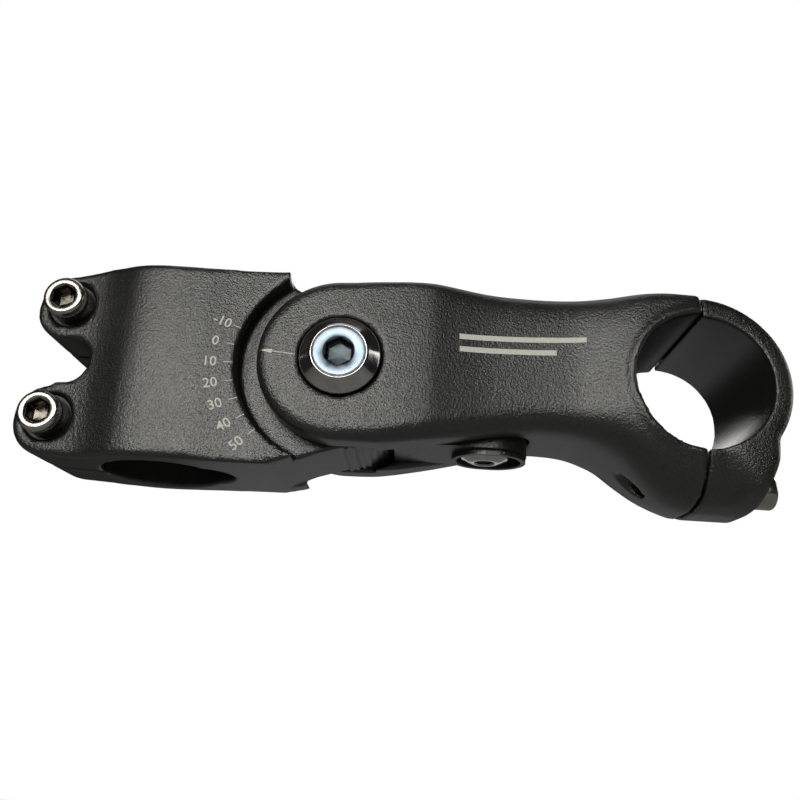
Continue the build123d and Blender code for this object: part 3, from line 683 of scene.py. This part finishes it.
def lettering(text, at, angle, tall):
    """Polygons of a number: the font's flat outline, scaled to a height, turned and moved."""
    curve = bpy.data.curves.new("number", "FONT")
    curve.body, curve.align_x, curve.align_y = text, "CENTER", "CENTER"
    curve.resolution_u, curve.offset = 4, 0.010
    holder = bpy.data.objects.new("number", curve)
    bpy.context.scene.collection.objects.link(holder)
    bpy.context.view_layer.update()
    view = bpy.context.evaluated_depsgraph_get()
    mesh = bpy.data.meshes.new_from_object(holder.evaluated_get(view))
    flat = coordinates(mesh)[:, :2] * MM * tall / CAPITAL
    c, s = math.cos(angle), math.sin(angle)
    placed = flat @ np.array([[c, s], [-s, c]]) + at
    outlines = [[tuple(placed[k]) for k in p.vertices] for p in mesh.polygons]
    bpy.data.objects.remove(holder)
    return outlines


for text, at, angle in numbers:
    outlines = lettering(text, at, angle, NUMBER_TALL)
    drape("number_" + text.replace("-", "minus_"), outlines, clamp_tree, "clamp")

tip, neck, tail = np.array([24.7, 1.95]), np.array([27.9, 1.6]), np.array([33.2, 1.1])
pointer = stroke(tip, neck, 0.05, 1.05) + stroke(neck, tail, 0.2)
drape("pointer", pointer, arm_tree, "arm")
stripes = stroke((71.0, 8.1), (101.0, 9.0), 1.3, parts=30)
stripes += stroke((71.1, 5.0), (94.0, 5.6), 1.3, parts=24)
drape("arm_stripes", stripes, arm_tree, "arm")
print("marks:", len(numbers), "numbers, the scale, a pointer and two stripes")

# %% [markdown]
# ## Where the coating is sleek
# The side faces were blasted before coating and look grainy. The underside and the bores were
# only machined, so the same coating lies smooth there. A number on each vertex says how smooth.

# %% A smoothness attribute on each casting
def mark_sleek(obj):
    """1 on faces that look down and inside the bores, 0 on the sides and the top."""
    mesh = obj.data
    co = coordinates(mesh)
    normals = np.empty(len(mesh.vertices) * 3)
    mesh.vertices.foreach_get("normal", normals)
    normals = normals.reshape(-1, 3)
    sleek = ramp(-normals[:, 2], 0.45, 0.8)
    local = to_arm(co)
    bar_gap = np.hypot(local[:, 0] - BAR_X, local[:, 2]) - BAR_RADIUS
    steerer_gap = np.hypot(co[:, 0], co[:, 1]) - STEERER_RADIUS
    sleek = np.maximum(sleek, (bar_gap < 0.15) | (steerer_gap < 0.2))
    layer = mesh.attributes.new("sleek", "FLOAT", "POINT")
    layer.data.foreach_set("value", sleek.astype(np.float32))
    print(obj.name, "sleek share", round(float(sleek.mean()), 2))


for casting in (arm_skin, clamp_skin, plate_skin):
    mark_sleek(casting)

# %% [markdown]
# ## Finishes
# Every finish is worked out from the piece's own coordinates, so it stays with the piece. The
# black coating is dark and satin, with a grain of about half a millimetre from the blasted metal
# under it; the brighter specks in its colour are partly that grain and partly painted glints. The
# bolts are nickel plated, their washers are black oxide, the cones are turned and polished, and
# the pivot screw is zinc plated with a faint blue. Sockets are painted darker inside: painted
# shade in the recess.

# %% A small kit for finishes
def link(tree, source, target):
    tree.links.new(source, target)
    return target


def noise(tree, where, scale, detail=2.0, rough=0.5):
    """A noise texture on the piece's coordinates; scale is in waves per metre."""
    node = tree.nodes.new("ShaderNodeTexNoise")
    node.inputs["Scale"].default_value = scale
    node.inputs["Detail"].default_value = detail
    node.inputs["Roughness"].default_value = rough
    link(tree, where, node.inputs["Vector"])
    return node.outputs["Fac"]


def spread(tree, value, low, high, start=0.3, end=0.7):
    """Maps the middle of a noise to a range of values."""
    node = tree.nodes.new("ShaderNodeMapRange")
    for key, number in (("From Min", start), ("From Max", end), ("To Min", low), ("To Max", high)):
        node.inputs[key].default_value = number
    link(tree, value, node.inputs["Value"])
    return node.outputs["Result"]


def tint(tree, value, dark, light, start=0.3, end=0.7):
    """Colours from dark to light over the middle of a noise."""
    node = tree.nodes.new("ShaderNodeValToRGB")
    node.color_ramp.elements[0].position, node.color_ramp.elements[0].color = start, (*dark, 1)
    node.color_ramp.elements[1].position, node.color_ramp.elements[1].color = end, (*light, 1)
    link(tree, value, node.inputs["Fac"])
    return node.outputs["Color"]


def bump(tree, height, strength, depth, below=None):
    """A bump of a given depth in millimetres; strength may be a number or a socket."""
    node = tree.nodes.new("ShaderNodeBump")
    node.inputs["Distance"].default_value = depth * MM
    if isinstance(strength, float):
        node.inputs["Strength"].default_value = strength
    else:
        link(tree, strength, node.inputs["Strength"])
    link(tree, height, node.inputs["Height"])
    if below is not None:
        link(tree, below, node.inputs["Normal"])
    return node.outputs["Normal"]


def finish(name, metal, specular=0.5):
    """A new material with its node tree, shader and coordinates."""
    made = bpy.data.materials.new(name)
    made.use_nodes = True
    tree = made.node_tree
    shader = tree.nodes["Principled BSDF"]
    shader.inputs["Metallic"].default_value = metal
    shader.inputs["Specular IOR Level"].default_value = specular
    where = tree.nodes.new("ShaderNodeTexCoord").outputs["Object"]
    return made, tree, shader, where


# Share of the colour left inside a socket: painted shade in the recess.
SOCKET_SHADE_SHARE = 0.25


def shaded(tree, colour, share):
    """Multiplies a colour by a warm share where the piece's "sunk" number is 1: painted shade inside
    the socket.
    """
    layer = tree.nodes.new("ShaderNodeAttribute")
    layer.attribute_name = "sunk"
    dark = tree.nodes.new("ShaderNodeMix")
    dark.data_type, dark.blend_type = "RGBA", "MULTIPLY"
    link(tree, layer.outputs["Fac"], dark.inputs["Factor"])
    link(tree, colour, dark.inputs["A"])
    dark.inputs["B"].default_value = (*[share * warm for warm in (1.0, 0.95, 0.88)], 1)
    return dark.outputs["Result"]


GRAIN_DEPTH = 0.13


def black_coating():
    """Dark satin coating: grain, brighter specks in its colour that are partly grain tone and partly
    painted glints, and smoother where the casting is sleek.
    """
    made, tree, shader, where = finish("black_coating", 0.0, 1.0)
    layer = tree.nodes.new("ShaderNodeAttribute")
    layer.attribute_name = "sleek"
    sleek = layer.outputs["Fac"]
    patches = noise(tree, where, 60.0, 3.0)
    grain = noise(tree, where, 2600.0, 2.5, 0.6)
    pits = noise(tree, where, 1500.0, 2.0, 0.5)
    # Base colour from the grain: partly grain tone, partly painted glints of the blasted grain.
    grain_tone_and_painted_glints = tint(tree, grain, (0.002, 0.002, 0.0018), (0.022, 0.022, 0.019))
    link(tree, grain_tone_and_painted_glints, shader.inputs["Base Color"])
    mixed = tree.nodes.new("ShaderNodeMix")
    mixed.data_type = "FLOAT"
    link(tree, sleek, mixed.inputs["Factor"])
    link(tree, spread(tree, patches, 0.27, 0.33), mixed.inputs["A"])
    mixed.inputs["B"].default_value = 0.4
    link(tree, mixed.outputs["Result"], shader.inputs["Roughness"])
    fine = bump(tree, grain, spread(tree, sleek, 1.0, 0.1, 0.0, 1.0), GRAIN_DEPTH)
    coarse = bump(tree, pits, spread(tree, sleek, 0.8, 0.1, 0.0, 1.0), GRAIN_DEPTH, fine)
    link(tree, coarse, shader.inputs["Normal"])
    return made


def plated(name, dark, light, smooth, coarse, scale=1500.0, depth=0.01):
    """Plated metal: two close tints in soft patches, and fine handling marks."""
    made, tree, shader, where = finish(name, 1.0)
    patches = noise(tree, where, 220.0, 4.0, 0.6)
    marks = noise(tree, where, scale, 4.0, 0.7)
    colour = shaded(tree, tint(tree, patches, dark, light), SOCKET_SHADE_SHARE)
    link(tree, colour, shader.inputs["Base Color"])
    link(tree, spread(tree, marks, smooth, coarse), shader.inputs["Roughness"])
    link(tree, bump(tree, marks, 0.5, depth), shader.inputs["Normal"])
    return made


def turned_finish(name, dark, light, smooth, coarse, depth):
    """Turned metal: rings about the pivot's axis, from a noise on the distance to it."""
    made, tree, shader, where = finish(name, 1.0)
    flat = tree.nodes.new("ShaderNodeVectorMath")
    flat.operation = "MULTIPLY"
    flat.inputs[1].default_value = (1.0, 0.0, 1.0)
    link(tree, where, flat.inputs[0])
    away = tree.nodes.new("ShaderNodeVectorMath")
    away.operation = "DISTANCE"
    away.inputs[1].default_value = (PIVOT[0] * MM, 0.0, PIVOT[2] * MM)
    link(tree, flat.outputs["Vector"], away.inputs[0])
    rings = tree.nodes.new("ShaderNodeTexNoise")
    rings.noise_dimensions = "1D"
    rings.inputs["Scale"].default_value = 5200.0
    rings.inputs["Detail"].default_value = 3.0
    link(tree, away.outputs["Value"], rings.inputs["W"])
    patches = noise(tree, where, 420.0, 4.0, 0.6)
    colour = shaded(tree, tint(tree, patches, dark, light), SOCKET_SHADE_SHARE)
    link(tree, colour, shader.inputs["Base Color"])
    link(tree, spread(tree, patches, smooth, coarse), shader.inputs["Roughness"])
    link(tree, bump(tree, rings.outputs["Fac"], 0.5, depth), shader.inputs["Normal"])
    return made


def matt(name, dark, light, rough, scale, depth):
    """A plain dull finish: two close tints, fine grain."""
    made, tree, shader, where = finish(name, 0.0, 0.4)
    grain = noise(tree, where, scale, 3.0, 0.6)
    link(tree, tint(tree, grain, dark, light), shader.inputs["Base Color"])
    link(tree, spread(tree, grain, rough - 0.06, rough + 0.06), shader.inputs["Roughness"])
    link(tree, bump(tree, grain, 0.4, depth), shader.inputs["Normal"])
    return made


coating = black_coating()
finishes = {
    "bolt_steel": plated("nickel_plate", (0.36, 0.34, 0.31), (0.56, 0.53, 0.48), 0.16, 0.30),
    "black_oxide": matt(
        "black_oxide", (0.004, 0.004, 0.004), (0.012, 0.012, 0.011), 0.38, 1800.0, 0.02),
    "polished_steel": turned_finish(
        "turned_steel", (0.48, 0.46, 0.43), (0.66, 0.64, 0.61), 0.08, 0.18, 0.006),
    "blue_zinc": turned_finish(
        "zinc_plate", (0.20, 0.26, 0.33), (0.44, 0.52, 0.60), 0.30, 0.48, 0.012),
    "bronze": plated("bronze_sleeve", (0.42, 0.26, 0.11), (0.58, 0.38, 0.18), 0.25, 0.4),
    "grey_plastic": matt(
        "bearing_plastic", (0.16, 0.16, 0.16), (0.22, 0.22, 0.21), 0.5, 1500.0, 0.02),
}
etched = matt("etched_mark", (0.74, 0.72, 0.64), (0.95, 0.93, 0.84), 0.6, 3000.0, 0.01)


def wear(obj, made):
    """Gives a piece one finish."""
    obj.data.materials.clear()
    obj.data.materials.append(made)


# %% Which finish each piece wears
slots = {}
for row in frame["record"]["subparts"]:
    slots[row["node"]] = row["material_slot"]
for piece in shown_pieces():
    if "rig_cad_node" in piece:
        made = finishes.get(slots[piece.name], coating)
        for place in piece.material_slots:
            place.material = made
    elif piece.name.startswith(("scale", "number", "pointer", "arm_stripes")):
        wear(piece, etched)
    elif piece["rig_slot"] == "black_coating":
        wear(piece, coating)
    else:
        wear(piece, finishes[piece["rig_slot"]])

# %% [markdown]
# ## Stage, light and camera
# The stem is looked at from slightly below, with a pale floor under it and a pale surround. One
# wide soft panel in front gives the flat side faces their sheen: faces that tilt away from it
# stay dark, which is what shows the waist and the ears. Weaker panels above, behind, below and
# at the handlebar's end keep the other sides readable.

# %% Floor and surround
def plain(name, seen_strength, strength, colour, glow_colour):
    """A stage finish that looks evenly pale to the camera and gives the pieces only weak light."""
    made = bpy.data.materials.new(name)
    made.use_nodes = True
    tree = made.node_tree
    shader = tree.nodes["Principled BSDF"]
    shader.inputs["Base Color"].default_value = (*colour, 1)
    shader.inputs["Roughness"].default_value = 0.9
    shader.inputs["Emission Color"].default_value = (*glow_colour, 1)
    camera_ray = tree.nodes.new("ShaderNodeLightPath").outputs["Is Camera Ray"]
    glow = spread(tree, camera_ray, strength, seen_strength, 0.0, 1.0)
    link(tree, glow, shader.inputs["Emission Strength"])
    return made


FLOOR_LEVEL = -175
corners = [(x, y, FLOOR_LEVEL) for x, y in ((-700, -700), (800, -700), (800, 420), (-700, 420))]
floor = make_object("floor", corners, [(0, 1, 2, 3)], smooth=False)
wear(floor, plain("pale_floor", 0.72, 0.06, (0.2, 0.2, 0.2), (0.9, 0.9, 0.89)))

world = bpy.data.worlds.new("pale_room")
bpy.context.scene.world = world
world.use_nodes = True
tree = world.node_tree
seen = tree.nodes.new("ShaderNodeBackground")
seen.inputs["Color"].default_value = (1, 1, 1, 1)
lit = tree.nodes["Background"]
lit.inputs["Color"].default_value = (0.95, 0.98, 1.0, 1)
lit.inputs["Strength"].default_value = 0.02
ray = tree.nodes.new("ShaderNodeLightPath")
either = tree.nodes.new("ShaderNodeMixShader")
link(tree, ray.outputs["Is Camera Ray"], either.inputs["Fac"])
link(tree, lit.outputs["Background"], either.inputs[1])
link(tree, seen.outputs["Background"], either.inputs[2])
link(tree, either.outputs["Shader"], tree.nodes["World Output"].inputs["Surface"])


# %% Soft panels
def panel(name, at, aim, wide, tall, power, colour):
    """A rectangular light in metres that looks from one point to another."""
    light = bpy.data.lights.new(name, "AREA")
    light.shape, light.size, light.size_y = "RECTANGLE", wide, tall
    light.energy, light.color = power, colour
    obj = bpy.data.objects.new(name, light)
    bpy.context.scene.collection.objects.link(obj)
    obj.location = at
    obj.rotation_euler = (Vector(aim) - Vector(at)).to_track_quat("-Z", "Y").to_euler()
    obj.visible_camera = False


middle_of_stem = (0.05, 0.0, 0.0)
warm, neutral, cool = (1.0, 0.99, 0.94), (1.0, 0.99, 0.97), (0.98, 0.98, 1.0)
panel("key_panel", (-0.10, -0.66, 0.17), middle_of_stem, 0.60, 0.20, 2.7, warm)
panel("under_panel", (0.10, 0.50, -0.16), middle_of_stem, 0.5, 0.12, 0.1, cool)
panel("top_panel", (0.05, 0.10, 0.60), middle_of_stem, 0.5, 0.4, 0.6, neutral)
panel("back_panel", (0.35, 0.60, 0.36), middle_of_stem, 0.6, 0.3, 2.2, neutral)
panel("nose_panel", (0.75, 0.10, 0.20), middle_of_stem, 0.4, 0.3, 0.9, neutral)

# %% [markdown]
# The camera stands close, a little below the stem, and looks slightly upwards.

# %% Camera
lens = bpy.data.cameras.new("camera")
lens.lens, lens.sensor_width = 34.155, 36.0
lens.clip_start, lens.clip_end = 0.01, 10.0
camera = bpy.data.objects.new("camera", lens)
bpy.context.scene.collection.objects.link(camera)
camera.location = (0.06079, -0.1825, -0.06261)
camera.rotation_euler = [math.radians(a) for a in (108.352, -2.5, 0.2294)]
bpy.context.scene.camera = camera
bpy.context.scene.view_settings.view_transform = "Standard"
